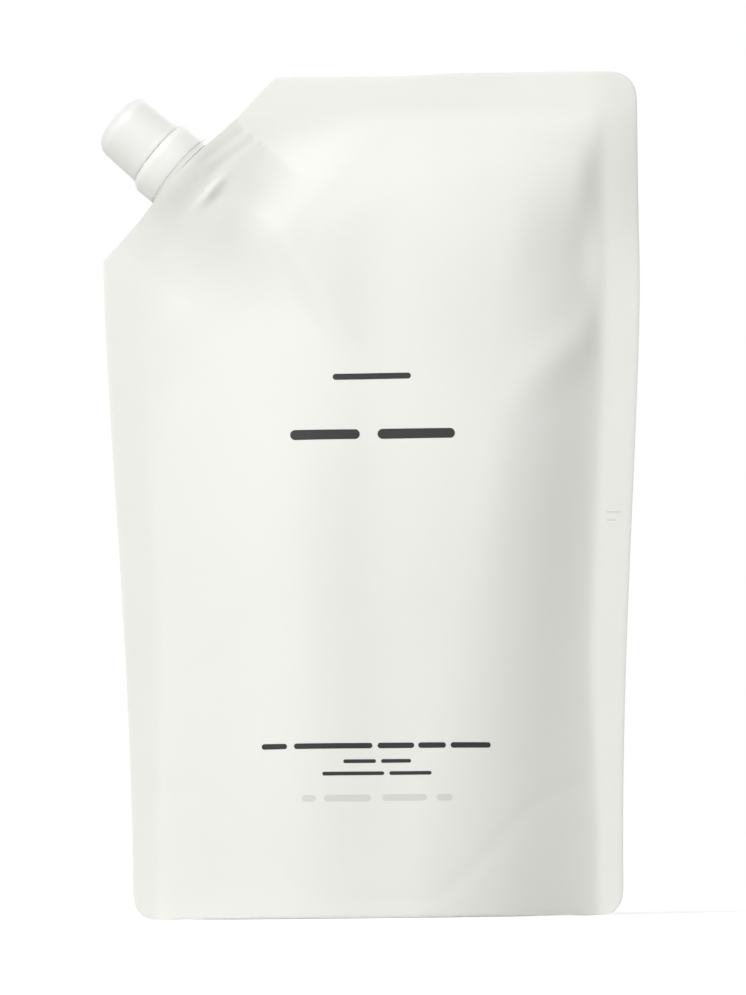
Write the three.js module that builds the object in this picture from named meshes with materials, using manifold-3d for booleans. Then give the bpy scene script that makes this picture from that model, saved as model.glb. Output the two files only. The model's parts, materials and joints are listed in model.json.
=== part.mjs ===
// A corner-spout refill pack for liquid hand soap, standing on its gusseted base, filled and closed.
// Millimetres, +Z up, the front panel faces -Y. The origin is on the ground under the middle of the pack.

import * as THREE from 'three';
import { mergeVertices } from 'three/addons/utils/BufferGeometryUtils.js';
import Module from 'manifold-3d';

const wasm = await Module();
wasm.setup();

// Flat outline of the pouch
const pouchHeight = 235;
const topHalfWidth = 75;
const baseHalfWidth = 67.5; // the contents spread the base and pull the side seals in
const parallelFrom = 180; // height above which the sides run straight up
const sideBow = 1.4; // exponent of the sides' curve below that height
const topCornerRadius = 7;
const bottomCornerRadius = 6;
const cutAcross = 48.8; // how much of the top edge the spout corner takes
const cutDown = 51.9; // how much of the left edge the spout corner takes

// Seals and film
const filmPair = 0.4; // two films welded together
const sideSeal = 10;
const topSeal = 11;
const cutSeal = 9;

// The filled form
const baseDepth = 56; // front to back at the ground
const depthTaper = 1.2; // exponents of the side view's curve from the ground to the top seal
const depthCrown = 0.85;
const flankWidth = 30; // from a side seal to the flatter middle of a panel, low down
const flankRise = 0.85; // exponent of the flank's curve
const flankGrowth = 45; // how far below the top seal a flank takes to widen
const panelCrown = 0.3; // share of the depth that lies in the middle's own curve
const cutFlank = 34; // from the spout corner's seal to the full depth

// Gusset under the base
const gussetHeight = 36; // where the fold meets the side seals
const skirtHeight = 6; // seal arc's lowest point on a panel
const sealArcBend = 2.2; // exponent of that arc
const gussetFlat = 26; // half the length of the base that lies flat on the ground
const gussetBend = 1.5; // exponent of the fold's climb to the side seals
const gussetTuck = 8; // exponent of the base film's curl next to a panel
const gussetReach = 54; // half the length of the hollow under the base
const skirtFilm = 0.6;
const baseLift = 1; // how far the hollow's tool stays under the flat middle

// Spout, measured along its axis from the edge of the cut corner
const spoutAngle = 41; // of the axis, above the horizontal
const spoutAlongCut = 38.2; // from the cut's upper end to the axis
const boreRadius = 5;
const boreChamfer = 0.8;
const boatWall = 1; // plastic left between the bore and the bottom of the weld grooves
const ribDepth = 0.5;
const ribWidth = 2;
const ribCount = 3;
const boatHalfLength = 20;
const boatDepth = 9.4;
const boatInset = 0.6; // from the film's edge to the outermost weld rib
const neckWall = 1.8;
const collarWall = 1.8; // extra radius of the plain neck that the ring sits on
const flangeLevel = 0.8;
const flangeThickness = 0.7;

// Tamper ring and cap
const ringHeight = 7.2;
const ringShoulder = 2.2;
const ringFlare = 1.5; // how far the ring stands out beyond the cap
const ringEdge = 0.5;
const ringClearance = 0.5;
const capHeight = 15.3;
const capWall = 2.2;
const capTop = 1.4;
const capDraft = 0.35; // smaller radius at the top than at the mouth
const capEdgeRadius = 3.5;
const threadClearance = 1; // room for both threads between neck and cap
const discThickness = 0.8;
const discClearance = 0.4;
const restGap = 0.3; // between pieces that rest on each other

// Fineness of the faceted surfaces
const panelColumns = 28;
const panelRows = 36;
const hollowColumns = 24;
const hollowLanes = 12;
const hollowLayers = 4;
const roundSegments = 48;
const arcSegments = 6;
const outlineSteps = 18;
const mergeDistance = 1e-3;
const overshoot = 4; // how far a cutting tool runs past what it cuts

// Places along the spout's axis that follow from the sizes above
const ringBottom = flangeLevel + flangeThickness + restGap;
const ringTop = ringBottom + ringHeight;
const capMouth = ringTop + restGap;
const capCrown = capMouth + capHeight;
const discTop = capCrown - capTop - restGap;
const neckRim = discTop - discThickness - restGap;
const neckRadius = boreRadius + neckWall;
const collarRadius = neckRadius + collarWall;
const capInnerRadius = neckRadius + threadClearance;
const capMouthRadius = capInnerRadius + capWall;
const capCrownRadius = capMouthRadius - capDraft;
const ringInnerRadius = collarRadius + ringClearance;
const ringRadius = Math.max(capMouthRadius, ringInnerRadius) + ringFlare;
const flangeRadius = ringRadius - ringEdge;
const boatHalfThickness = boreRadius + boatWall + ribDepth;
const boatBottom = -boatInset - boatDepth;

const film = new THREE.MeshStandardMaterial({ color: 0xf1f1ed, roughness: 0.6, metalness: 0 });
const plastic = new THREE.MeshStandardMaterial({ color: 0xf5f5f1, roughness: 0.42, metalness: 0 });
const foam = new THREE.MeshStandardMaterial({ color: 0xf7f7f5, roughness: 0.9, metalness: 0 });

// A closed body from a geometry: shared corners merged, empty triangles dropped, faces turned outwards.
function solid(geometry) {
  const bare = geometry.clone();
  bare.deleteAttribute('normal');
  bare.deleteAttribute('uv');
  const merged = mergeVertices(bare, mergeDistance);
  const vertProperties = new Float32Array(merged.getAttribute('position').array);
  const corner = (i) => new THREE.Vector3().fromArray(vertProperties, 3 * i);
  const triangles = [];
  let volume = 0;
  for (let i = 0; i < merged.index.count; i += 3) {
    const [a, b, c] = [merged.index.getX(i), merged.index.getX(i + 1), merged.index.getX(i + 2)];
    if (a === b || b === c || c === a) continue;
    triangles.push([a, b, c]);
    volume += corner(a).dot(corner(b).cross(corner(c)));
  }
  const triVerts = new Uint32Array(triangles.flatMap(([a, b, c]) => (volume > 0 ? [a, b, c] : [a, c, b])));
  return new wasm.Manifold(new wasm.Mesh({ numProp: 3, vertProperties, triVerts }));
}

// The finished body as a named mesh.
function piece(name, body, material) {
  const { vertProperties, triVerts } = body.getMesh();
  const geometry = new THREE.BufferGeometry();
  geometry.setAttribute('position', new THREE.BufferAttribute(vertProperties, 3));
  geometry.setIndex(new THREE.BufferAttribute(triVerts, 1));
  geometry.computeVertexNormals();
  const mesh = new THREE.Mesh(geometry, material);
  mesh.name = name;
  return mesh;
}

// A box of cells whose corners are moved to where place puts corner number column, lane and row.
function cellBox(columns, lanes, rows, place) {
  const geometry = new THREE.BoxGeometry(1, 1, 1, columns, lanes, rows);
  const position = geometry.getAttribute('position');
  const number = (coordinate, count) => Math.round((coordinate + 0.5) * count);
  for (let i = 0; i < position.count; i++) {
    const column = number(position.getX(i), columns);
    const lane = number(position.getY(i), lanes);
    const row = number(position.getZ(i), rows);
    position.setXYZ(i, ...place(column, lane, row));
  }
  return solid(geometry);
}

// A turned body about the spout's axis, from a closed outline of [radius, place along the axis].
function turned(outline) {
  const closed = [...outline, outline[0]].map(([radius, along]) => new THREE.Vector2(radius, along));
  return solid(new THREE.LatheGeometry(closed, roundSegments).rotateX(Math.PI / 2));
}

// Points of a quarter round from angle start to end, for a turned outline.
function quarterRound(centreRadius, centreAlong, radius, start, end) {
  return Array.from({ length: arcSegments + 1 }, (_, i) => {
    const angle = start + ((end - start) * i) / arcSegments;
    return [centreRadius + radius * Math.cos(angle), centreAlong + radius * Math.sin(angle)];
  });
}

function halfWidth(z) {
  const below = THREE.MathUtils.clamp(1 - z / parallelFrom, 0, 1);
  return topHalfWidth - (topHalfWidth - baseHalfWidth) * Math.sin((Math.PI / 2) * below) ** sideBow;
}

// The spout corner's cut edge, from the top edge down to the left side.
const cutStart = new THREE.Vector2(cutAcross - topHalfWidth, pouchHeight);
const cutEnd = new THREE.Vector2(-halfWidth(pouchHeight - cutDown), pouchHeight - cutDown);
const cutDirection = cutEnd.clone().sub(cutStart).normalize();
const cutNormal = new THREE.Vector2(cutDirection.y, -cutDirection.x); // points out of the pouch
const spoutFoot = cutStart.clone().addScaledVector(cutDirection, spoutAlongCut);

// Points up a side edge, from the bottom corner's round to a height.
function sideEdge(top, side) {
  return Array.from({ length: outlineSteps + 1 }, (_, i) => {
    const z = THREE.MathUtils.lerp(bottomCornerRadius, top, i / outlineSteps);
    return new THREE.Vector2(side * halfWidth(z), z);
  });
}

function pouchOutline() {
  const outline = new THREE.Shape();
  const right = sideEdge(pouchHeight - topCornerRadius, 1);
  const left = sideEdge(cutEnd.y, -1).reverse();
  outline.moveTo(bottomCornerRadius - halfWidth(0), 0);
  outline.lineTo(halfWidth(0) - bottomCornerRadius, 0);
  outline.quadraticCurveTo(halfWidth(0), 0, right[0].x, right[0].y);
  for (const point of right.slice(1)) outline.lineTo(point.x, point.y);
  const cornerX = halfWidth(pouchHeight) - topCornerRadius;
  outline.absarc(cornerX, pouchHeight - topCornerRadius, topCornerRadius, 0, Math.PI / 2);
  outline.lineTo(cutStart.x, cutStart.y);
  for (const point of left) outline.lineTo(point.x, point.y);
  outline.quadraticCurveTo(-halfWidth(0), 0, bottomCornerRadius - halfWidth(0), 0);
  return outline;
}

function smooth(share) {
  return THREE.MathUtils.smoothstep(share, 0, 1);
}

// Half the pack's thickness at a point of its front view: welded film in the seals, the contents between.
function halfDepth(x, z) {
  const fillTop = pouchHeight - topSeal;
  const level = THREE.MathUtils.clamp(z / fillTop, 0, 1);
  const sideView = (baseDepth / 2) * (1 - level ** depthTaper) ** depthCrown;
  const inner = halfWidth(z) - sideSeal;
  const flankHere = flankWidth * (1 - Math.exp(Math.min(-1, z - fillTop) / flankGrowth));
  const fromSeal = THREE.MathUtils.clamp((inner - Math.abs(x)) / flankHere, 0, 1);
  const flank = Math.sin((Math.PI / 2) * fromSeal ** flankRise) ** 2;
  const crown = Math.max(0, 1 - (x / inner) ** 2);
  const fromCut = -new THREE.Vector2(x, z).sub(cutStart).dot(cutNormal);
  const corner = smooth((fromCut - cutSeal) / cutFlank);
  const section = (1 - panelCrown) * flank + panelCrown * crown * smooth(2 * fromSeal);
  return filmPair / 2 + sideView * section * corner;
}

// The front and back panels as one closed form, before its outline is cut.
function filledForm() {
  const filledRows = panelRows - 1;
  return cellBox(panelColumns, 1, panelRows, (column, side, row) => {
    const z = row > filledRows ? pouchHeight + overshoot : (pouchHeight - topSeal) * (row / filledRows);
    const inner = halfWidth(z) - sideSeal;
    let x = inner * (-1 + (2 * (column - 1)) / (panelColumns - 2));
    if (column === 0) x = -topHalfWidth - overshoot;
    if (column === panelColumns) x = topHalfWidth + overshoot;
    return [x, (2 * side - 1) * halfDepth(x, z), z];
  });
}

// The hollow between the two skirts and the gusset film, which climbs from the flat middle to the side seals.
function gussetHollow() {
  const inner = halfWidth(0) - sideSeal;
  return cellBox(hollowColumns, hollowLanes, hollowLayers, (column, lane, layer) => {
    const x = gussetReach * ((2 * column) / hollowColumns - 1);
    const across = (2 * lane) / hollowLanes - 1;
    const climb = Math.max(0, (Math.abs(x) - gussetFlat) / (inner - gussetFlat));
    const fold = (gussetHeight + baseLift) * climb ** gussetBend - baseLift;
    const sealArc = skirtHeight + (gussetHeight - skirtHeight) * (Math.abs(x) / inner) ** sealArcBend;
    const roof = fold + (sealArc - fold) * Math.abs(across) ** gussetTuck;
    const z = THREE.MathUtils.lerp(-overshoot, roof, layer / hollowLayers);
    const reach = halfDepth(x, Math.max(0, z)) - skirtFilm;
    return [x, across * Math.max(reach, filmPair / 4), z];
  });
}

// The weld boat's eye-shaped section, two arcs that meet in points, grown or shrunk by an offset.
function eye(offset) {
  const arcRadius = (boatHalfLength ** 2 + boatHalfThickness ** 2) / (2 * boatHalfThickness);
  const centre = arcRadius - boatHalfThickness;
  const radius = arcRadius + offset;
  const half = Math.acos(centre / radius);
  const section = new THREE.Shape();
  section.absarc(0, -centre, radius, Math.PI / 2 - half, Math.PI / 2 + half);
  section.absarc(0, centre, radius, (3 * Math.PI) / 2 - half, (3 * Math.PI) / 2 + half);
  return section;
}

function boatSection(offset, from, to) {
  const options = { depth: to - from, bevelEnabled: false, curveSegments: 2 * arcSegments };
  return solid(new THREE.ExtrudeGeometry(eye(offset), options).translate(0, 0, from));
}

// Moves a body built about the spout's own axis to its place on the pouch.
const spoutFrame = new THREE.Group();
spoutFrame.position.set(spoutFoot.x, 0, spoutFoot.y);
spoutFrame.rotation.y = THREE.MathUtils.degToRad(spoutAngle - 90);
spoutFrame.updateMatrix();

function onSpoutAxis(body) {
  return body.transform(spoutFrame.matrix.toArray());
}

// Film, contents and gusset. The film is drawn tight over the weld boat, which sits in a close pocket.
function pouch() {
  const flat = new THREE.ExtrudeGeometry(pouchOutline(), { depth: 2 * baseDepth, bevelEnabled: false });
  const outline = solid(flat.rotateX(Math.PI / 2).translate(0, baseDepth, 0));
  const pocketFloor = boatBottom - restGap;
  const sleeve = boatSection(restGap + filmPair, pocketFloor - filmPair, overshoot);
  const pocket = boatSection(restGap, pocketFloor, 2 * overshoot);
  return filledForm().add(onSpoutAxis(sleeve)).intersect(outline)
    .subtract(onSpoutAxis(pocket)).subtract(gussetHollow());
}

// The moulded fitment: a ribbed boat that is welded between the films, a flange, and the neck.
function spout() {
  const neck = turned([
    [boreRadius / 2, boatBottom + ribWidth], [boreRadius + boatWall, boatBottom + ribWidth],
    [boreRadius + boatWall, flangeLevel], [flangeRadius, flangeLevel],
    [flangeRadius, flangeLevel + flangeThickness], [collarRadius, flangeLevel + flangeThickness],
    [collarRadius, ringTop - ringShoulder], [neckRadius, ringTop - ringShoulder + collarWall],
    [neckRadius, neckRim], [boreRadius / 2, neckRim],
  ]);
  const bore = turned([
    [0, boatBottom - overshoot], [boreRadius, boatBottom - overshoot],
    [boreRadius, neckRim - 2 * boreChamfer], [boreRadius + boreChamfer, neckRim],
    [boreRadius + boreChamfer, neckRim + overshoot], [0, neckRim + overshoot],
  ]);
  let body = boatSection(-ribDepth, boatBottom, -boatInset).add(neck);
  const ribSpacing = (boatDepth - ribWidth) / (ribCount - 1);
  for (let rib = 0; rib < ribCount; rib++) {
    const from = boatBottom + rib * ribSpacing;
    body = body.add(boatSection(0, from, from + ribWidth));
  }
  return body.subtract(bore);
}

function tamperRing() {
  return turned([
    [ringInnerRadius, ringBottom], [ringRadius - ringEdge, ringBottom],
    [ringRadius, ringBottom + ringEdge], [ringRadius, ringTop - ringShoulder],
    [ringRadius - ringFlare + ringEdge, ringTop], [ringInnerRadius, ringTop],
  ]);
}

function cap() {
  const edge = quarterRound(capCrownRadius - capEdgeRadius, capCrown - capEdgeRadius, capEdgeRadius, 0, Math.PI / 2);
  return turned([
    [capInnerRadius, capMouth], [capMouthRadius, capMouth], ...edge,
    [0, capCrown], [0, capCrown - capTop], [capInnerRadius, capCrown - capTop],
  ]);
}

function sealingDisc() {
  const radius = capInnerRadius - discClearance;
  return turned([[0, discTop - discThickness], [radius, discTop - discThickness], [radius, discTop], [0, discTop]]);
}

const refillPack = new THREE.Group();
spoutFrame.add(
  piece('spout', spout(), plastic),
  piece('tamper_ring', tamperRing(), plastic),
  piece('sealing_disc', sealingDisc(), foam),
  piece('cap', cap(), plastic),
);
refillPack.add(piece('pouch', pouch(), film), spoutFrame);

export default refillPack;
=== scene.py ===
import json
import math

import bpy
from mathutils import Matrix, Vector, noise


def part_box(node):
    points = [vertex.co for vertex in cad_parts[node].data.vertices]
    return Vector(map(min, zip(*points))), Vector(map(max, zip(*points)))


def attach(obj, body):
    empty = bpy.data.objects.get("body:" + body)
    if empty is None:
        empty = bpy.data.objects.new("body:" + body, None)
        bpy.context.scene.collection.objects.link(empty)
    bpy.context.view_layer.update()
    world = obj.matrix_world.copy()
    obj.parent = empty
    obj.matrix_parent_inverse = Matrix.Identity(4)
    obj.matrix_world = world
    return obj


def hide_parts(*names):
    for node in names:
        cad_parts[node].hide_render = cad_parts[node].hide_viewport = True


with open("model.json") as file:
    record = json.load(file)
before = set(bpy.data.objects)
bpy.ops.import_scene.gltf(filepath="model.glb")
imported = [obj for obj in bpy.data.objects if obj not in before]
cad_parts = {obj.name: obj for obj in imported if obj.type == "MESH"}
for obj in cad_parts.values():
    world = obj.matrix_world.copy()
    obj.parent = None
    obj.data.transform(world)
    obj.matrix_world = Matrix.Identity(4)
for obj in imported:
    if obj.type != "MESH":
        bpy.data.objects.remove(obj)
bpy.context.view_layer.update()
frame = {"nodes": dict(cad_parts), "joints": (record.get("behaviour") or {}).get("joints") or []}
mm = 0.001

# sizes are in millimetres, and places are worked out from the frame
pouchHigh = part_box("pouch")[1] / mm
capTurn = next(joint for joint in frame["joints"] if joint["name"] == "cap_turn")
spoutOut = Vector(capTurn["axis"]).normalized()
spoutAlong = Vector((spoutOut.z, 0, -spoutOut.x))  # up along the cut edge
spoutFoot = Vector(capTurn["pos_m"]) / mm  # where the spout's axis crosses the cut edge
spoutPlace = Matrix((spoutAlong, (0, 1, 0), spoutOut)).transposed().to_4x4()
spoutPlace.translation = spoutFoot * mm

pouch = {
    "baseHalfWidth": 67.5, "parallelFrom": 180, "sideBow": 1.4,
    "topCorner": 7, "bottomCorner": 6,
    "cutAcross": 48.8, "cutDown": 51.9,
    "filmPair": 0.4, "sideSeal": 10, "sealNarrows": 2.8, "topSeal": 11, "cutSeal": 9,
    "topSlope": 0.26, "panelSlope": 0.109,  # rise per mm above and below the shoulder's ridge
    "leftSteeper": 0.06,  # what the left half adds above the ridge
    "ridgeRound": 2.2, "baseRound": 4, "topEdgeRise": 0.8,
    "flankWidth": 62, "flankGrowth": 140, "flankRise": 0.6, "panelCrown": 0.12,
    "cutFlank": 24, "cutFlankLow": 84,  # how far the film climbs from the cut, above and under the spout
}
ridge = {"height": 194, "climb": 0.0055, "step": 7, "stepAt": -5, "stepRun": 8}
leftFlank = {"wider": 0.5, "height": 150, "spread": 60}
rightFlank = {"wider": 0.12, "height": 75, "run": 60}
weldLine = {"low": 4, "rise": 31, "flat": 10, "run": 44, "dent": 0.25, "width": 2.2}
sealLean = {"side": 0.6, "top": 1.4, "turned": 3.0, "turnedAt": 203, "turnedSpread": 24,
            "waviness": 0.25, "waveLength": 26}
mesh = {"columns": 74, "sealColumns": 5, "rows": 112, "topRows": 5, "lanes": 18, "startGap": 0.02}

# soft folds of the panel: side (1 right), height at the seal, drop per mm inwards, rise, spread,
# and how far in from the seal the fold climbs and ends
folds = (
    {"side": 1, "height": 188, "drop": 0, "rise": 4.7, "spread": 30, "run": 28, "reach": 95},
    {"side": 1, "height": 126, "drop": 0, "rise": 3.7, "spread": 40, "run": 31, "reach": 95},
    {"side": 1, "height": 207, "drop": 0.15, "rise": 1.9, "spread": 11, "run": 8, "reach": 30},
    {"side": 1, "height": 183, "drop": 0.1, "rise": -1.3, "spread": 10, "run": 7, "reach": 26},
    {"side": 1, "height": 163, "drop": 0.7, "rise": 1.7, "spread": 8, "run": 7, "reach": 30},
    {"side": -1, "height": 166, "drop": -0.15, "rise": 0.9, "spread": 7, "run": 7, "reach": 30},
    {"side": -1, "height": 150, "drop": 0.3, "rise": -0.5, "spread": 8, "run": 7, "reach": 20},
)

gusset = {
    "height": 36, "skirt": 6, "sealBend": 2.2, "flat": 26, "bend": 1.5, "tuck": 8,
    "reach": 54, "film": 0.6, "skirtLanes": 3,
}

boat = {
    "halfLength": 20, "halfThickness": 6.5, "depth": 9.4, "inset": 0.6, "coreRadius": 6,
    "ribs": 3, "ribWidth": 2, "ribDepth": 0.5,
    "ribTilt": 0.1, "ribShow": 0.22,  # the ribs as the film shows them
    "span": 30, "fuller": 2.1, "flare": 2.2, "gap": 0.3, "film": 0.4,  # the film over the boat
    "tiltAt": 9, "reachDown": 60, "reachUp": 4,  # where the film is cut finer
}
boatBottom = -boat["inset"] - boat["depth"]
ribSpacing = (boat["depth"] - boat["ribWidth"]) / (boat["ribs"] - 1)


def clamp(value, low=0.0, high=1.0):
    return max(low, min(high, value))


def smooth(share):
    part = clamp(share)
    return part * part * (3 - 2 * part)


def softMax(a, b, blend):
    share = clamp(0.5 + 0.5 * (a - b) / blend)
    return b + (a - b) * share + blend * share * (1 - share)


def deselectAll():
    if bpy.context.object and bpy.context.object.mode == "EDIT":
        bpy.ops.object.mode_set(mode="OBJECT")
    bpy.ops.object.select_all(action="DESELECT")


def pick(piece):
    deselectAll()
    piece.select_set(True)
    bpy.context.view_layer.objects.active = piece


def edit(piece, kind="VERT", verts=None, edges=None, faces=None):
    # opens the piece in edit mode with the chosen elements selected, or all of them
    pick(piece)
    data = piece.data
    everything = verts is None and edges is None and faces is None
    for group in (data.vertices, data.edges, data.polygons):
        group.foreach_set("select", [everything] * len(group))
    for group, test in ((data.vertices, verts), (data.edges, edges), (data.polygons, faces)):
        if test:
            for element in group:
                element.select = test(element)
    bpy.context.tool_settings.mesh_select_mode = (kind == "VERT", kind == "EDGE", kind == "FACE")
    bpy.ops.object.mode_set(mode="EDIT")


def applyModifier(piece, kind, **settings):
    pick(piece)
    modifier = piece.modifiers.new("step", kind)
    for name, value in settings.items():
        setattr(modifier, name, value)
    bpy.ops.object.modifier_apply(modifier=modifier.name)


def combine(piece, tool, how):
    applyModifier(piece, "BOOLEAN", object=tool, operation=how, solver="EXACT")
    bpy.data.objects.remove(tool)


def tidyMesh(piece, angle=32):
    edit(piece)
    bpy.ops.mesh.remove_doubles(threshold=1e-6)
    bpy.ops.mesh.normals_make_consistent(inside=False)
    bpy.ops.object.mode_set(mode="OBJECT")
    bpy.ops.object.shade_smooth_by_angle(angle=math.radians(angle))


def settle(piece, matrix):
    # moves the finished mesh to its place and leaves the object at the origin
    piece.data.transform(matrix)
    piece.matrix_world = Matrix.Identity(4)


# the pouch's form

def halfWidthAt(z):
    below = clamp(1 - z / pouch["parallelFrom"])
    pulledIn = pouchHigh.x - pouch["baseHalfWidth"]
    return pouchHigh.x - pulledIn * math.sin(math.pi / 2 * below) ** pouch["sideBow"]


def innerAt(z):
    # where the side seal ends and the free panel begins
    return halfWidthAt(z) - pouch["sideSeal"] + pouch["sealNarrows"] * smooth((80 - z) / 60)


cutStart = Vector((pouch["cutAcross"] - pouchHigh.x, 0, pouchHigh.z))
cutEnd = Vector((-pouchHigh.x, 0, pouchHigh.z - pouch["cutDown"]))
cutDirection = (cutEnd - cutStart).normalized()
cutNormal = Vector((cutDirection.z, 0, -cutDirection.x))  # points out of the pouch
fillTop = pouchHigh.z - pouch["topSeal"]


def ridgeAt(x):
    # height of the shoulder's ridge, which climbs to the sides and steps up right of the middle
    step = ridge["step"] * math.tanh((x - ridge["stepAt"]) / ridge["stepRun"])
    return ridge["height"] + ridge["climb"] * x * x + step


def foldsAt(x, z, inner):
    rise = 0.0
    for fold in folds:
        inside = max(0, inner - fold["side"] * x)
        crest = fold["height"] - fold["drop"] * inside
        across = smooth(inside / fold["run"]) * smooth((fold["reach"] - inside) / (0.7 * fold["reach"]))
        rise += fold["rise"] * across * math.exp(-(((z - crest) / fold["spread"]) ** 2))
    return rise


def sealArcAt(x):
    # the gusset's weld line, as it shows on a panel
    return weldLine["low"] + weldLine["rise"] * smooth((abs(x) - weldLine["flat"]) / weldLine["run"])


def sideViewAt(x, z):
    # half the thickness in the middle: steep down to the shoulder's ridge, then gentle down to the base
    down = max(0, fillTop - z)
    past = (down - (fillTop - ridgeAt(x))) / pouch["ridgeRound"]
    rounded = pouch["ridgeRound"] * (past if past > 30 else math.log1p(math.exp(past)))
    left = pouch["leftSteeper"] * (1 - smooth((x + 40) / 40))
    steep, gentle = pouch["topSlope"] + left, pouch["panelSlope"] - 0.17 * left
    depth = steep * down - (steep - gentle) * rounded
    return max(0, -softMax(-depth, -(pouchHigh.y - pouch["filmPair"] / 2), pouch["baseRound"]))


def cornerAt(x, z):
    # 0 along the weld of the cut corner, 1 where the panel is full
    place = cutStart - Vector((x, 0, z))
    fromCut, downCut = place.dot(cutNormal), -place.dot(cutDirection)
    low = smooth((downCut - 30) / 20)
    flank = pouch["cutFlank"] + low * (pouch["cutFlankLow"] - pouch["cutFlank"])
    part = clamp((fromCut - pouch["cutSeal"]) / flank)
    return smooth(part) * (1 - low) + math.sin(math.pi / 2 * part) * low


def halfDepthAt(x, z, corner=None):
    sideView = sideViewAt(x, z)
    inner = innerAt(z)
    inside = inner - abs(x)
    flank = pouch["flankWidth"] * (1 - math.exp(min(-1, z - fillTop) / pouch["flankGrowth"]))
    if x < 0:
        near = math.exp(-(((z - leftFlank["height"]) / leftFlank["spread"]) ** 2))
        flank *= 1 + leftFlank["wider"] * near * smooth(-x / 20)
    else:
        near = smooth((rightFlank["height"] - z) / rightFlank["run"])
        flank *= 1 + rightFlank["wider"] * near * smooth(x / 20)
    fromSeal = clamp(inside / flank)
    section = (1 - pouch["panelCrown"]) * math.sin(math.pi / 2 * fromSeal ** pouch["flankRise"]) ** 2
    section += pouch["panelCrown"] * max(0, 1 - (x / inner) ** 2) * smooth(2 * fromSeal)
    corner = cornerAt(x, z) if corner is None else corner
    depth = sideView * section * corner
    if inside > 0:
        depth += foldsAt(x, z, inner) * corner * smooth(depth / 2)
        onWeld = math.exp(-(((z - sealArcAt(x)) / weldLine["width"]) ** 2))
        depth -= weldLine["dent"] * onWeld * smooth(z / 6)
    return pouch["filmPair"] / 2 + depth


def sealBackAt(x, z):
    # the free edges of the seals lean back from the front panel
    inner = innerAt(z)
    side = clamp((abs(x) - inner + 2) / (halfWidthAt(z) - inner + 2)) ** 1.3
    near = math.exp(-(((z - sealLean["turnedAt"]) / sealLean["turnedSpread"]) ** 2))
    turned = sealLean["turned"] * near if x > 0 else 0
    top = clamp((z - fillTop + 2) / (pouch["topSeal"] + 2)) ** 1.3
    waviness = sealLean["waviness"] * noise.noise(Vector((x, 0, z)) / sealLean["waveLength"])
    return (sealLean["side"] + turned) * side + sealLean["top"] * top + waviness * max(side, top)


def roundCorner(x, z, cornerX, cornerZ, radius):
    # moves a point of a square corner so that the corner's outline becomes a quarter round
    across, up = (x - cornerX) / radius, (z - cornerZ) / radius
    return (cornerX + radius * across * math.sqrt(1 - min(1, up * up) / 2),
            cornerZ + radius * up * math.sqrt(1 - min(1, across * across) / 2))


def panelPlace(column, row):
    fillRows = mesh["rows"] - mesh["topRows"]
    z = fillTop * row / fillRows
    if row > fillRows:
        z = fillTop + pouch["topSeal"] * (row - fillRows) / mesh["topRows"]
    edge = halfWidthAt(z)
    fromLeft = min(column, mesh["columns"] - column)
    side = -1 if column < mesh["columns"] / 2 else 1
    if fromLeft <= mesh["sealColumns"]:
        x = side * (edge - (edge - innerAt(z)) * fromLeft / mesh["sealColumns"])
    else:
        inner = innerAt(z)
        innerColumns = mesh["columns"] - 2 * mesh["sealColumns"]
        x = inner * (2 * (column - mesh["sealColumns"]) / innerColumns - 1)
    top, bottom = pouch["topCorner"], pouch["bottomCorner"]
    if x > edge - top and z > pouchHigh.z - top:
        x, z = roundCorner(x, z, edge - top, pouchHigh.z - top, top)
    if abs(x) > edge - bottom and z < bottom:
        turnedX, turnedZ = roundCorner(abs(x), bottom - z, edge - bottom, 0, bottom)
        x, z = side * turnedX, bottom - turnedZ
    return x, z


def gussetPlace(x, lane):
    # the rim under the pouch: down a skirt, up its inside, over the base film, and the same again
    nearest = min(lane, mesh["lanes"] - lane)
    front = -1 if lane < mesh["lanes"] / 2 else 1
    inner = innerAt(0)
    climb = max(0, (abs(x) - gusset["flat"]) / (inner - gusset["flat"]))
    fold = (gusset["height"] + 1) * climb ** gusset["bend"] - 1
    arc = gusset["skirt"] + (gusset["height"] - gusset["skirt"]) * (abs(x) / inner) ** gusset["sealBend"]
    if nearest <= gusset["skirtLanes"]:
        z = 0.9 * arc * max(0, nearest - 1) / (gusset["skirtLanes"] - 1)
        wall = halfDepthAt(x, z) - (gusset["film"] if nearest else 0)
        return Vector((x, front * max(wall, 0.1), max(z, 0)))
    share = (nearest - gusset["skirtLanes"]) / (mesh["lanes"] / 2 - gusset["skirtLanes"])
    across = 1 - share ** 1.6 if share < 1 else 0
    z = max(0, fold + (arc - fold) * across ** gusset["tuck"])
    reach = max(halfDepthAt(x, z) - gusset["film"], 0.1)
    return Vector((x, front * across * reach, z))


def filmPlace(point):
    column = (point.x + 0.5) * mesh["columns"]
    row = (point.y + 0.5) * mesh["rows"]
    across = clamp(0.5 - point.z / mesh["startGap"])  # 0 on the front film, 1 on the back
    x, z = panelPlace(column, row)
    if row < 0.01 and abs(x) < gusset["reach"]:
        return gussetPlace(x, round(across * mesh["lanes"])) * mm
    z += pouch["topEdgeRise"] * smooth((x - 8) / 20) * smooth((z - fillTop) / pouch["topSeal"])
    side = 2 * across - 1
    return Vector((x, sealBackAt(x, z) + side * halfDepthAt(x, z), z)) * mm


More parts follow.
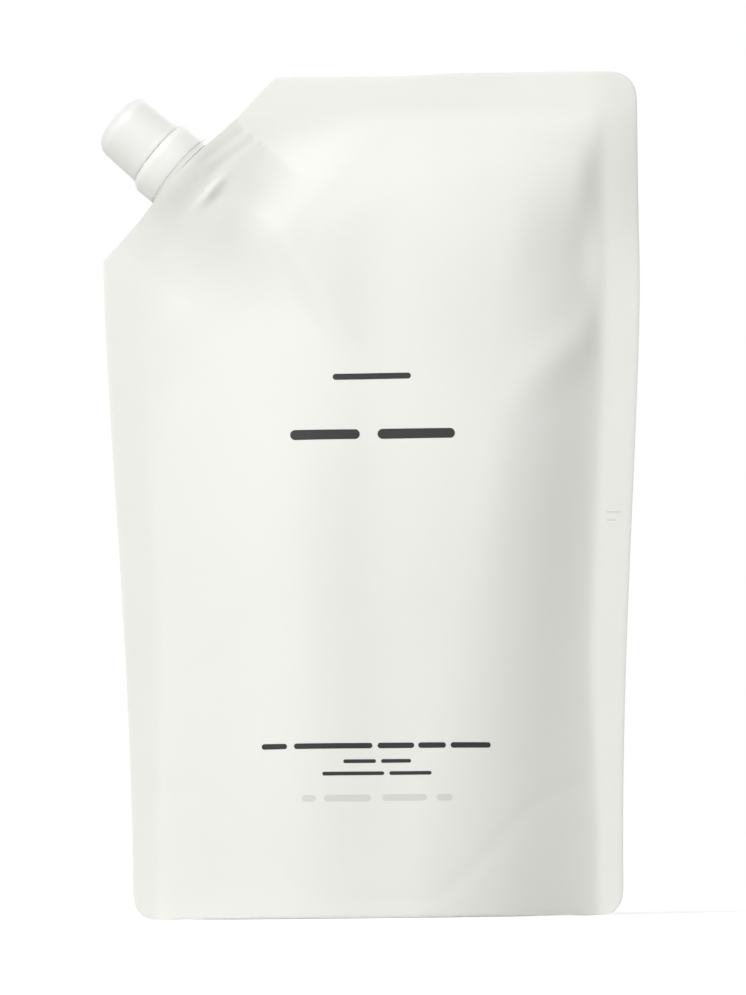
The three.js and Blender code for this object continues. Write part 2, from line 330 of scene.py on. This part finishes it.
def makeFilm():
    # a fine grid is doubled to a front and a back film, and the rim under them becomes the gusset
    deselectAll()
    bpy.ops.mesh.primitive_grid_add(x_subdivisions=mesh["columns"], y_subdivisions=mesh["rows"], size=1)
    film = bpy.context.object
    film.name = "pouch_film"
    applyModifier(film, "SOLIDIFY", thickness=mesh["startGap"], offset=0)
    ends = film.data.vertices

    def rung(edge):
        a, b = (ends[i].co for i in edge.vertices)
        return a.y < -0.499 and b.y < -0.499 and abs(a.x - b.x) < 1e-4 and abs(a.x) < 0.499

    edit(film, "EDGE", edges=rung)
    bpy.ops.mesh.subdivide(number_cuts=mesh["lanes"] - 1)
    bpy.ops.object.mode_set(mode="OBJECT")
    for vertex in film.data.vertices:
        vertex.co = filmPlace(vertex.co)
    return film


def coverAt(along, level, x, z):
    # half the depth of the film drawn over the spout's boat, and on from its end to the full panel
    length, half = boat["halfLength"], boat["halfThickness"]
    arcRadius = (length ** 2 + half ** 2) / (2 * half)
    outer = arcRadius + boat["gap"] + boat["film"]
    lens = math.sqrt(max(0, outer ** 2 - along ** 2)) - (arcRadius - half)
    if along < 0:  # the film spans from the boat to the lower corner
        lens = softMax(lens, (outer - arcRadius + half) * (1 - smooth(-along / boat["span"])), 1)
    past = boatBottom - boat["gap"] - level
    middle = smooth((17 - abs(along)) / 14)
    lens += boat["fuller"] * middle * (1 - smooth(past / 18))
    nearEnd = math.exp(-(((along - 1) / 5) ** 2))
    bump = 0.3 * nearEnd * math.exp(-(((past + 0.4) / 0.9) ** 2))
    if past > 0:
        share = cornerAt(x, z)
        dent = nearEnd * smooth((past + 0.1) / 2.2) * (1 - smooth((past - 1) / 20))
        return max(0, lens) * (1 - share) + halfDepthAt(x, z, 1) * share + bump - dent
    tilted = level + boat["ribTilt"] * (along - boat["tiltAt"])
    phase = (tilted - boatBottom - boat["ribWidth"] / 2) / ribSpacing  # 0 on the lowest rib
    valley = 0.5 - 0.5 * math.cos(2 * math.pi * clamp(phase, 0, boat["ribs"] - 1))
    lens -= boat["ribShow"] * valley * smooth((along - 2) / 5)
    lens += boat["flare"] * smooth(level / 9 + 1) * middle  # it turns out to the flange
    return max(0, lens) + bump


def fitSpout(film):
    # the corner is cut off, and the film takes the ribs of the boat that is welded in
    edit(film)
    bpy.ops.mesh.bisect(plane_co=cutStart * mm, plane_no=cutNormal, use_fill=True, clear_outer=True)
    bpy.ops.object.mode_set(mode="OBJECT")
    toSpout = spoutPlace.inverted()

    def nearBoat(place):
        return abs(place.x) < boat["span"] + 4 and -boat["reachDown"] < place.z < boat["reachUp"]

    area = film.vertex_groups.new(name="overBoat")
    near = [vertex.index for vertex in film.data.vertices if nearBoat(toSpout @ vertex.co / mm)]
    area.add(near, 1, "REPLACE")
    film.vertex_groups.active_index = area.index
    cuts = [boatBottom - boat["gap"] - step for step in (-0.8, -0.3, 0.2, 0.8, 1.5)]
    lowestRib, lastStep = boatBottom + boat["ribWidth"] / 2, 6 * (boat["ribs"] - 1)
    cuts += [lowestRib + ribSpacing * step / 6 for step in range(lastStep + 1)]
    tilted = spoutPlace.to_3x3() @ Vector((boat["ribTilt"], 0, 1)).normalized()
    for level in cuts:
        edit(film, verts=lambda vertex: False)
        bpy.ops.object.vertex_group_select()
        place = spoutPlace @ (Vector((boat["tiltAt"], 0, level)) * mm)
        bpy.ops.mesh.bisect(plane_co=place, plane_no=tilted)
        bpy.ops.object.mode_set(mode="OBJECT")
    for vertex in film.data.vertices:
        place = toSpout @ vertex.co / mm
        if nearBoat(place):
            x, z = vertex.co.x / mm, vertex.co.z / mm
            middle = sealBackAt(x, z)
            side = 1 if place.y > middle else -1
            cover = coverAt(place.x, place.z, x, z)
            blend = 0.02 + 0.8 * smooth(cover / 2) * (1 - smooth((-10 - place.z) / 12))
            half = abs(place.y - middle)
            drawn = 1 - smooth((-16 - place.z) / 36)  # the cover fades out into the free panel
            vertex.co.y = (middle + side * (half + drawn * (softMax(half, cover, blend) - half))) * mm
    film.vertex_groups.clear()


def makeEye(name, length, thickness, level):
    # the outline of two arcs that meet in points, as a ring of points at a level of the spout's axis
    deselectAll()
    bpy.ops.mesh.primitive_circle_add(vertices=64, radius=1)
    eye = bpy.context.object
    eye.name = name
    arcRadius = (length ** 2 + thickness ** 2) / (2 * thickness)
    for vertex in eye.data.vertices:
        x = length * vertex.co.x
        side = 1 if vertex.co.y > 0 else -1
        y = side * (math.sqrt(arcRadius ** 2 - x ** 2) - (arcRadius - thickness))
        vertex.co = Vector((x, y if abs(x) < 0.9999 * length else 0, level)) * mm
    return eye


def stack(piece, stations, ends=True):
    # extrudes the ring from station to station: width and depth as shares of the first, and a level
    edit(piece, "EDGE")
    if ends:
        bpy.ops.mesh.edge_face_add()
        bpy.ops.mesh.select_all(action="SELECT")
    for start, end in zip(stations, stations[1:]):
        step = {"value": (0, 0, (end[2] - start[2]) * mm)}
        bpy.ops.mesh.extrude_region_move(TRANSFORM_OT_translate=step)
        size = (end[0] / start[0], end[1] / start[1], 1)
        bpy.ops.transform.resize(value=size, center_override=(0, 0, end[2] * mm))
    bpy.ops.object.mode_set(mode="OBJECT")
    tidyMesh(piece)


def makePocket(film):
    bottom = boatBottom - boat["gap"]
    close = 0.06  # the film is drawn tight over the boat
    tool = makeEye("pocket", boat["halfLength"] + 2 * close, boat["halfThickness"] + close, bottom)
    stack(tool, [(1, 1, bottom), (1, 1, 6)])
    settle(tool, spoutPlace)
    combine(film, tool, "DIFFERENCE")


relax = {"frames": 16, "pressure": 1.4, "most": 1.5, "bending": 30}


def relaxFilm(film):
    # a short cloth simulation: the fill presses the panels out between the seals, which are pinned
    held = film.vertex_groups.new(name="held")
    rest = [vertex.co.copy() for vertex in film.data.vertices]
    toSpout = spoutPlace.inverted()
    free = []
    for vertex, place in zip(film.data.vertices, rest):
        x, z = place.x / mm, place.z / mm
        inside = innerAt(z) - abs(x)
        atSpout = toSpout @ place / mm
        fromSpout = math.hypot(atSpout.x, max(0, -10 - atSpout.z))
        share = (smooth(inside / 6) * smooth((fillTop - z) / 6) * smooth((z - 20) / 60)
                 * smooth((-atSpout.z - 10) / 20) * smooth((fromSpout - 24) / 20))
        free.append(share)
        held.add([vertex.index], 1 - share, "REPLACE")
    pick(film)
    cloth = film.modifiers.new("relax", "CLOTH")
    settings = cloth.settings
    settings.quality = 6
    settings.mass = 0.2
    settings.tension_stiffness = settings.compression_stiffness = 40
    settings.shear_stiffness = 20
    settings.bending_stiffness = relax["bending"]
    settings.vertex_group_mass = "held"
    settings.pin_stiffness = 2
    settings.use_pressure = True
    settings.uniform_pressure_force = relax["pressure"]
    settings.effector_weights.gravity = 0
    cloth.collision_settings.use_collision = False
    for step in range(1, relax["frames"] + 1):
        bpy.context.scene.frame_set(step)
    bpy.ops.object.modifier_apply(modifier=cloth.name)
    bpy.context.scene.frame_set(1)
    film.vertex_groups.clear()
    for vertex, place, share in zip(film.data.vertices, rest, free):
        move = vertex.co - place
        length = move.length / mm
        if length > 0:
            capped = relax["most"] * math.tanh(length / relax["most"])
            vertex.co = place + move * (share * capped / length)
    moved = max((vertex.co - place).length for vertex, place in zip(film.data.vertices, rest))
    print(f"film relaxed, moved {moved / mm:.2f} mm at most")


film = makeFilm()
print("film: panels and gusset placed")
relaxFilm(film)
applyModifier(film, "SUBSURF", levels=1, render_levels=1)
fitSpout(film)
makePocket(film)
tidyMesh(film, 40)
print("film: spout corner fitted,", len(film.data.polygons), "faces")

# turned pieces of the spout, as closed outlines of radius and level along the spout's axis

levels = {
    "flange": 0.06, "flangeTop": 1.6, "collarTop": 6.8, "neckFoot": 8.6, "neckRim": 21.8,
    "ring": 1.63, "ringShoulder": 7.1, "ringTop": 9.15, "mouth": 9.3, "ceiling": 23.2, "crown": 24.6,
}
radii = {
    "flange": 11.46, "collar": 8.6, "neck": 6.8, "bore": 5, "hole": 5.5,
    "ring": 11.5, "ringTop": 10.5, "ringInner": 9.1, "capInner": 7.8, "capMouth": 10, "capCrown": 9.65,
}


def turn(name, outline, segments=120, closed=True):
    # an outline turned about the spout's axis, ring by ring; an open one ends in flat discs
    deselectAll()
    radius, level = outline[0]
    bpy.ops.mesh.primitive_circle_add(vertices=segments, radius=radius * mm, location=(0, 0, level * mm))
    piece = bpy.context.object
    piece.name = name
    bpy.ops.object.transform_apply(location=True)
    stations = [*outline, outline[0]] if closed else outline
    stack(piece, [(r / radius, r / radius, z) for r, z in stations], ends=not closed)
    return piece


thread = {"lead": 3, "height": 0.7, "root": 1.5, "tip": 0.8, "turns": 2.2, "onNeck": 11, "inCap": 12.5}


def makeThread(name, radius, outwards, start):
    # a ridge of trapezoid section that climbs round the axis
    deselectAll()
    half, tip, turns = thread["root"] / 2, thread["tip"] / 2, thread["turns"]
    buried = -0.25 * outwards
    section = [(radius + buried, -half), (radius, -half), (radius + outwards * thread["height"], -tip),
               (radius + outwards * thread["height"], tip), (radius, half), (radius + buried, half)]
    bpy.ops.mesh.primitive_circle_add(vertices=len(section), radius=mm)
    ridge = bpy.context.object
    ridge.name = name
    for vertex, (r, z) in zip(ridge.data.vertices, section):
        vertex.co = Vector((r, 0, z + start)) * mm
    applyModifier(ridge, "SCREW", angle=2 * math.pi * turns, screw_offset=thread["lead"] * mm * turns,
                  steps=round(60 * turns), render_steps=round(60 * turns), use_merge_vertices=False)
    edit(ridge)
    bpy.ops.mesh.select_all(action="DESELECT")
    bpy.ops.mesh.select_non_manifold()
    bpy.ops.mesh.fill_holes(sides=0)
    bpy.ops.object.mode_set(mode="OBJECT")
    tidyMesh(ridge)
    return ridge


def makeSpout():
    core, foot = boat["coreRadius"], boatBottom + boat["ribWidth"]
    neck = turn("spout_moulding", [
        (radii["bore"], foot), (core, foot), (core, levels["flange"]),
        (radii["flange"], levels["flange"]), (radii["flange"], levels["flangeTop"]),
        (radii["collar"], levels["flangeTop"]), (radii["collar"], levels["collarTop"]),
        (radii["neck"], levels["neckFoot"]),
        (radii["neck"], levels["neckRim"]), (radii["bore"] + 0.8, levels["neckRim"]),
        (radii["bore"], levels["neckRim"] - 1.6),
    ])
    applyModifier(neck, "BEVEL", width=0.08 * mm, segments=2, limit_method="ANGLE",
                  angle_limit=math.radians(35), harden_normals=False)
    length, half = boat["halfLength"], boat["halfThickness"]
    thin = ((length - 0.8) / length, (half - boat["ribDepth"]) / half)
    stations = []
    for rib in range(boat["ribs"]):
        start = boatBottom + rib * ribSpacing
        stations += [(1, 1, start), (1, 1, start + boat["ribWidth"])]
        if rib < boat["ribs"] - 1:
            stations += [(*thin, start + boat["ribWidth"]), (*thin, start + ribSpacing)]
    hull = makeEye("hull", length, half, boatBottom)
    stack(hull, stations)
    hole = turn("hole", [(radii["hole"], boatBottom - 1), (radii["hole"], 1)], 64, closed=False)
    combine(hull, hole, "DIFFERENCE")
    combine(neck, hull, "UNION")
    combine(neck, makeThread("neckThread", radii["neck"], 1, thread["onNeck"]), "UNION")
    tidyMesh(neck)
    settle(neck, spoutPlace)
    return neck


# the thin bridges that break when the cap is first turned
bridging = {"number": 8, "first": 12, "radius": 9.8, "size": (0.5, 0.8, 0.36)}


def makeRing():
    ring = turn("tamper_ring_moulding", [
        (radii["ringInner"], levels["ring"]), (radii["ring"] - 0.04, levels["ring"]),
        (radii["ring"], levels["ring"] + 0.04), (radii["ring"], levels["ringShoulder"]),
        (radii["ring"] - 0.1, levels["ringShoulder"] + 0.4),
        (radii["ringTop"] + 0.12, levels["ringTop"] - 0.45),
        (radii["ringTop"] - 0.2, levels["ringTop"]), (radii["ringInner"], levels["ringTop"]),
    ])
    bridges = []
    for number in range(bridging["number"]):
        angle = math.radians(360 / bridging["number"] * number + bridging["first"])
        across, along = (bridging["radius"] * mm * part for part in (math.cos(angle), math.sin(angle)))
        deselectAll()
        bpy.ops.mesh.primitive_cube_add(size=mm, rotation=(0, 0, angle),
                                        location=(across, along, (levels["ringTop"] + 0.08) * mm))
        bridge = bpy.context.object
        bridge.scale = bridging["size"]
        bpy.ops.object.transform_apply()
        bridges.append(bridge)
    for bridge in bridges:
        combine(ring, bridge, "UNION")
    tidyMesh(ring, 28)
    settle(ring, spoutPlace)
    return ring


capShape = {"edge": 4.6, "bead": 0.1}


def makeCap():
    mouth, crown, edge = levels["mouth"], levels["crown"], capShape["edge"]
    bead, outer, inner = capShape["bead"], radii["capMouth"], radii["capInner"]
    rounds = [(radii["capCrown"] - edge + edge * math.cos(a), crown - edge + edge * math.sin(a))
              for a in (math.pi / 2 * step / 8 for step in range(9))]
    outline = [
        (inner, levels["ceiling"]), (inner, mouth + 0.3), (inner + 0.3, mouth),
        (outer - 0.2, mouth), (outer + 0.7 * bead, mouth + 0.12), (outer + bead, mouth + 0.4),
        (outer + bead, mouth + 0.8), (outer + 0.6 * bead, mouth + 1.1), (outer - 0.03, mouth + 1.35),
        (outer - 0.06, mouth + 2), *rounds,
        (1.2, crown), (1.0, crown - 0.18),  # the gate's small dimple
    ]
    cap = turn("cap_moulding", outline, closed=False)
    combine(cap, makeThread("capThread", inner, -1, thread["inCap"]), "UNION")
    tidyMesh(cap, 35)
    settle(cap, spoutPlace)
    return cap


spout = makeSpout()
ring = makeRing()
cap = makeCap()
print("spout, ring and cap turned")

# generic print: height, thickness and the ends of each bar across, in mm
printLines = (
    {"height": 148.3, "thick": 1.7, "ink": "black", "bars": ((-11.1, 10.4),)},
    {"height": 132.1, "thick": 2.8, "ink": "black", "bars": ((-22.9, -3.8), (1.1, 22.3))},
    {"height": 46.5, "thick": 1.5, "ink": "black",
     "bars": ((-31.2, -24.3), (-22.4, -1.2), (0.2, 10.1), (11.2, 18.7), (20, 30.9))},
    {"height": 42.3, "thick": 1, "ink": "black", "bars": ((-9.1, -0.3), (1.1, 9.2))},
    {"height": 39, "thick": 1, "ink": "black", "bars": ((-14.8, 1.9), (3.3, 14.7))},
    {"height": 32.4, "thick": 1.8, "ink": "grey",
     "bars": ((-20.4, -16.6), (-14.4, -1.8), (1.3, 13.4), (16, 20.3))},
    # two marks of the seal's tool: the shade in their dents is painted as a thin pale grey layer
    {"height": 111.4, "thick": 0.5, "ink": "seal_dent_shade", "bars": ((64.4, 68.4),)},
    {"height": 109.2, "thick": 0.5, "ink": "seal_dent_shade", "bars": ((64.4, 67.1),)},
)
laid = {"from": -60, "thickness": 0.05, "proud": 0.03, "step": 1.2}


def makeLine(number, line):
    # long shapes with round ends, side by side, laid on the film
    radius = line["thick"] / 2
    pieces = []
    for start, end in line["bars"]:
        deselectAll()
        bpy.ops.mesh.primitive_circle_add(
            vertices=24, radius=radius * mm, fill_type="NGON", rotation=(math.pi / 2, 0, 0),
            location=(0, laid["from"] * mm, line["height"] * mm))
        bar = bpy.context.object
        bpy.ops.object.transform_apply()
        for vertex in bar.data.vertices:
            vertex.co.x += (end - radius if vertex.co.x > 0 else start + radius) * mm
        pieces.append(bar)
    pick(pieces[0])
    for bar in pieces[1:]:
        bar.select_set(True)
    if len(pieces) > 1:
        bpy.ops.object.join()
    piece = bpy.context.object
    piece.name = f"print_line_{number}"
    first, last = line["bars"][0][0], line["bars"][-1][1]
    cuts = round((last - first) / laid["step"])
    for cut in range(1, cuts):
        edit(piece)
        x = (first + (last - first) * cut / cuts) * mm
        bpy.ops.mesh.bisect(plane_co=(x, 0, 0), plane_no=(1, 0, 0))
        bpy.ops.object.mode_set(mode="OBJECT")
    applyModifier(piece, "SHRINKWRAP", target=film, wrap_method="PROJECT", use_project_y=True,
                  use_negative_direction=True, use_positive_direction=True)
    applyModifier(piece, "SOLIDIFY", thickness=laid["thickness"] * mm, offset=0)
    tidyMesh(piece)
    settle(piece, Matrix.Translation((0, -laid["proud"] * mm, 0)))
    return piece


lines = [makeLine(number, line) for number, line in enumerate(printLines, 1)]
print("print laid on the film")


# finishes

def hexColour(text):
    # sRGB hex to the linear colour that a shader takes
    values = [int(text[i:i + 2], 16) / 255 for i in (1, 3, 5)]
    return (*[v / 12.92 if v <= 0.04045 else ((v + 0.055) / 1.055) ** 2.4 for v in values], 1)


def addNode(material, kind, settings=None, links=()):
    tree = material.node_tree
    node = tree.nodes.new(kind)
    for name, value in (settings or {}).items():
        if name in node.inputs:
            node.inputs[name].default_value = value
        else:
            setattr(node, name, value)
    for source, socket in links:
        tree.links.new(source, node.inputs[socket])
    return node


def newMaterial(name):
    material = bpy.data.materials.new(name)
    material.use_nodes = True
    material.node_tree.nodes.clear()
    return material


def closeMaterial(material, shader):
    addNode(material, "ShaderNodeOutputMaterial", links=[(shader.outputs[0], "Surface")])
    return material


def pattern(material, kind, size, **settings):
    # a pattern in the object's own space, its size in millimetres
    place = addNode(material, "ShaderNodeTexCoord").outputs["Object"]
    return addNode(material, kind, {"Scale": 1 / (size * mm), **settings}, [(place, "Vector")])


def tinted(material, share, colour, shade):
    colours = {"data_type": "RGBA", "A": hexColour(colour), "B": hexColour(shade)}
    return addNode(material, "ShaderNodeMix", colours, [(share, "Factor")]).outputs["Result"]


def between(material, share, low, high):
    span = {"To Min": low, "To Max": high}
    return addNode(material, "ShaderNodeMapRange", span, [(share, "Value")]).outputs["Result"]


def bumped(material, height, strength, depth, under=None):
    links = [(height, "Height")] if under is None else [(height, "Height"), (under, "Normal")]
    settings = {"Strength": strength, "Distance": depth * mm}
    return addNode(material, "ShaderNodeBump", settings, links).outputs["Normal"]


def surfaced(material, settings, colour, roughness=None, normal=None):
    links = [(source, socket) for source, socket in (
        (colour, "Base Color"), (roughness, "Roughness"), (normal, "Normal")) if source is not None]
    return closeMaterial(material, addNode(material, "ShaderNodeBsdfPrincipled", settings, links))


def matteLaminate():
    # matt white polyethylene laminate: a dull, even face with a very fine grain and slow, faint ripples
    material = newMaterial("matte_white_laminate_film")
    grain = pattern(material, "ShaderNodeTexNoise", 0.5, Detail=2.0).outputs["Fac"]
    ripple = pattern(material, "ShaderNodeTexNoise", 16, Detail=3.0, Roughness=0.5).outputs["Fac"]
    slow = bumped(material, ripple, 0.5, 0.12)
    return surfaced(material, {"IOR": 1.5}, tinted(material, ripple, "#F0F0EC", "#EEEEE9"),
                    between(material, grain, 0.5, 0.62), bumped(material, grain, 0.12, 0.02, slow))


def mouldedPlastic(name, colour, shade, roughness):
    # injection-moulded polyethylene: satin, slightly waxy, with the fine flow marks of the mould
    material = newMaterial(name)
    flow = pattern(material, "ShaderNodeTexNoise", 3, Detail=3.0).outputs["Fac"]
    fine = pattern(material, "ShaderNodeTexNoise", 0.25, Detail=2.0).outputs["Fac"]
    waxy = {"IOR": 1.52, "Subsurface Weight": 0.35, "Subsurface Radius": (1, 1, 0.9),
            "Subsurface Scale": 3 * mm}
    return surfaced(material, waxy, tinted(material, flow, colour, shade),
                    between(material, fine, roughness - 0.05, roughness + 0.07),
                    bumped(material, fine, 0.15, 0.02))


def foamedDisc():
    # foamed polyethylene sheet: soft, dull, with small cells
    material = newMaterial("foamed_polyethylene")
    cells = pattern(material, "ShaderNodeTexVoronoi", 0.4).outputs["Distance"]
    return surfaced(material, {"Roughness": 0.85, "IOR": 1.5},
                    tinted(material, cells, "#F4F4F2", "#E9E9E6"), normal=bumped(material, cells, 0.4, 0.05))


def inkAndPaintedShade(name, colour, worn):
    # flexographic ink, and the painted shade of the seal's dents: a thin, dull layer that shows a little of
    # the film's grain
    material = newMaterial(name)
    grain = pattern(material, "ShaderNodeTexNoise", 0.3, Detail=2.0).outputs["Fac"]
    return surfaced(material, {"Roughness": 0.6, "IOR": 1.48}, tinted(material, grain, colour, worn))


def setMaterial(piece, material):
    piece.data.materials.clear()
    piece.data.materials.append(material)


capPlastic = mouldedPlastic("moulded_polyethylene_cap", "#F7F7F3", "#F4F4EF", 0.42)
setMaterial(film, matteLaminate())
setMaterial(spout, mouldedPlastic("moulded_polyethylene_spout", "#F6F6F2", "#F3F3EE", 0.4))
setMaterial(ring, capPlastic)
setMaterial(cap, capPlastic)
setMaterial(frame["nodes"]["sealing_disc"], foamedDisc())
# the last of these is no ink: it paints the shade in the two dents of the seal's tool
inksAndPaintedShade = {"black": inkAndPaintedShade("black_flexo_ink", "#1B1B1B", "#2A2A2A"),
        "grey": inkAndPaintedShade("pale_grey_flexo_ink", "#DADAD5", "#DFDFDA"),
        "seal_dent_shade": inkAndPaintedShade("painted_seal_dent_shade", "#DEDED9", "#E3E3DE")}
for piece, line in zip(lines, printLines):
    setMaterial(piece, inksAndPaintedShade[line["ink"]])

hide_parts("pouch")
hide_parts("spout")
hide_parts("tamper_ring")
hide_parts("cap")
for piece in (film, spout, ring, *lines):
    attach(piece, "pack")
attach(cap, "cap")
print("finishes set")

# studio: a pale floor, a white room, one large soft lamp and a weak one from behind

studio = {
    "room": 0.33, "lampDistance": 4.4, "lampSize": 2.6,
    "key": 0.7, "keyAzimuth": -32, "keyElevation": 43, "back": 0.3, "backAzimuth": 150, "backElevation": 35,
    "floor": "#EEEEEC", "glowNear": 0.45, "glowFar": 0.78,  # the floor glows only where the camera sees it
}


def makeFloor():
    deselectAll()
    bpy.ops.mesh.primitive_plane_add(size=12)
    floor = bpy.context.object
    floor.name = "floor"
    material = newMaterial("painted_studio_floor")
    paint = addNode(material, "ShaderNodeBsdfDiffuse", {"Color": hexColour(studio["floor"])})
    place = addNode(material, "ShaderNodeTexCoord").outputs["Object"]
    away = addNode(material, "ShaderNodeVectorMath", {"operation": "LENGTH"}, [(place, 0)])
    level = addNode(material, "ShaderNodeMapRange", {
        "From Min": 0.25, "From Max": 1.2, "To Min": studio["glowNear"], "To Max": studio["glowFar"]},
        [(away.outputs["Value"], "Value")])
    glow = addNode(material, "ShaderNodeEmission", {"Color": (1, 1, 1, 1)},
                   [(level.outputs["Result"], "Strength")])
    both = addNode(material, "ShaderNodeAddShader", links=[(paint.outputs[0], 0), (glow.outputs[0], 1)])
    path = addNode(material, "ShaderNodeLightPath")
    seen = addNode(material, "ShaderNodeMixShader", links=[
        (path.outputs["Is Camera Ray"], 0), (paint.outputs[0], 1), (both.outputs[0], 2)])
    setMaterial(floor, closeMaterial(material, seen))


def makeWorld():
    world = bpy.data.worlds.new("room")
    world.use_nodes = True
    world.node_tree.nodes.clear()
    path = addNode(world, "ShaderNodeLightPath")
    most = addNode(world, "ShaderNodeMath", {"operation": "MAXIMUM"},
                   [(path.outputs["Is Camera Ray"], 0), (path.outputs["Is Glossy Ray"], 1)])
    seen = addNode(world, "ShaderNodeMath", {"operation": "MAXIMUM"},
                   [(most.outputs[0], 0), (path.outputs["Is Transmission Ray"], 1)])
    strength = addNode(world, "ShaderNodeMapRange", {"To Min": studio["room"], "To Max": 1.0},
                       [(seen.outputs[0], "Value")])
    light = addNode(world, "ShaderNodeBackground", {"Color": (1, 1, 1, 1)},
                    [(strength.outputs["Result"], "Strength")])
    addNode(world, "ShaderNodeOutputWorld", links=[(light.outputs[0], "Surface")])
    bpy.context.scene.world = world


def aim(thing, target):
    thing.rotation_mode = "QUATERNION"
    thing.rotation_quaternion = (Vector(target) - thing.location).to_track_quat("-Z", "Y")


def makeLamp(name, azimuth, elevation, level):
    # a square soft box whose power gives a white surface that faces it that level
    distance = studio["lampDistance"]
    side, up = math.radians(azimuth), math.radians(elevation)
    middle = Vector((0, 0, pouchHigh.z / 2 * mm))
    back = Vector((math.sin(side) * math.cos(up), -math.cos(side) * math.cos(up), math.sin(up)))
    bpy.ops.object.light_add(type="AREA", location=middle + back * distance)
    lamp = bpy.context.object
    lamp.name = name
    lamp.data.size = studio["lampSize"]
    lamp.data.energy = level * math.pi ** 2 * distance ** 2
    aim(lamp, middle)


camera = {"distance": 1150, "elevation": -5.4, "target": (-0.34, 0, 116.1), "field": 13.7, "roll": 0.6}


def makeCamera():
    up = math.radians(camera["elevation"])
    target = Vector(camera["target"]) * mm
    back = Vector((0, -math.cos(up), math.sin(up)))
    bpy.ops.object.camera_add(location=target + back * camera["distance"] * mm)
    eye = bpy.context.object
    aim(eye, target)
    eye.rotation_quaternion = eye.rotation_quaternion @ Matrix.Rotation(
        math.radians(-camera["roll"]), 4, "Z").to_quaternion()
    eye.data.lens = eye.data.sensor_width / 2 / math.tan(math.radians(camera["field"]) / 2)
    bpy.context.scene.camera = eye


makeFloor()
makeWorld()
for name in ("key", "back"):
    makeLamp(name, studio[f"{name}Azimuth"], studio[f"{name}Elevation"], studio[name])
makeCamera()
bpy.context.scene.view_settings.view_transform = "Standard"
print("studio ready")
